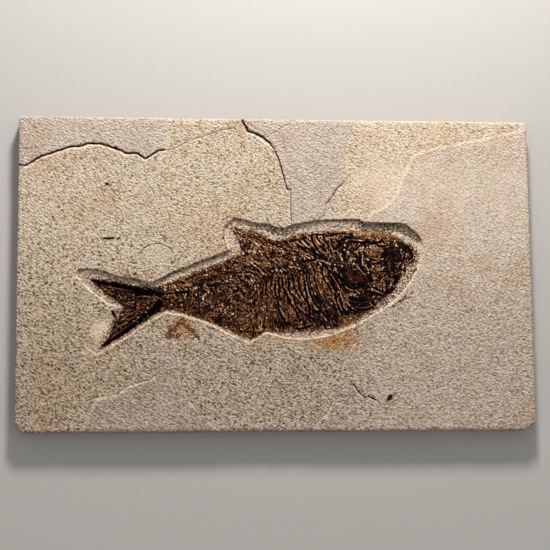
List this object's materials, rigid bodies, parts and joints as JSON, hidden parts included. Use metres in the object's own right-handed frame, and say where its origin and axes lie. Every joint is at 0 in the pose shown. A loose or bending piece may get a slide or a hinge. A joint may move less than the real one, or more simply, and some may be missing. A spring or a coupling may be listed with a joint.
{
  "type": "fossil fish slab",
  "caption": "Sawn rectangular slab of layered limestone with a flattened fossil fish lying in a shallow cut trench on its face.",
  "frame": {"origin": "middle of the slab's back face, on the surface that it rests on", "axes": "+X from the fish's tail to its head along the slab's length, +Y towards the fish's back, +Z out of the face with the fish"},
  "size_m": [0.457, 0.279, 0.016],
  "materials": {
    "limestone": "matt, split and scraped face, sawn sides",
    "fossil_bone": "dark brown mineralised bone, satin on its ridges"
  },
  "bodies": {
    "root": {"slab": "limestone", "fish": "fossil_bone"}
  },
  "joints": []
}
